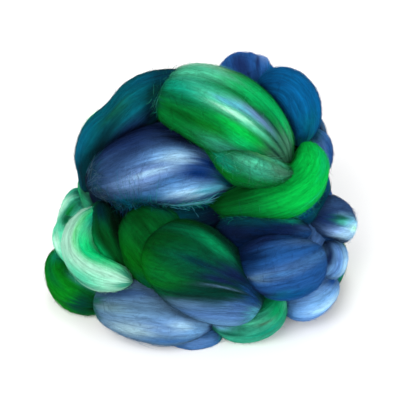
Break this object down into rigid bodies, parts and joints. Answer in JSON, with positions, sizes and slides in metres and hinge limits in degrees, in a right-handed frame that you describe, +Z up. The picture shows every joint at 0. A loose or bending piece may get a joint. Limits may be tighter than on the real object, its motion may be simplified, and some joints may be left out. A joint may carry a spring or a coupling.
{
  "type": "wool roving",
  "caption": "Thick strand of combed wool chained into a loose braid and wound into a two-tier bun on a small flat spot, stored ready for spinning or felting.",
  "frame": {"origin": "on the surface that the bun rests on, in its flat spot, below the middle of its lower tier", "axes": "+X to the right as the front is seen, +Y from the front to the back, +Z up; the front, with the large crossing bellies, faces -Y"},
  "size_m": [0.2021, 0.1881, 0.1562],
  "materials": {
    "wool": "matte combed wool with a soft sheen, hand dyed in blended greens, teals and blues"
  },
  "bodies": {
    "root": {"roving": "wool"}
  },
  "joints": []
}
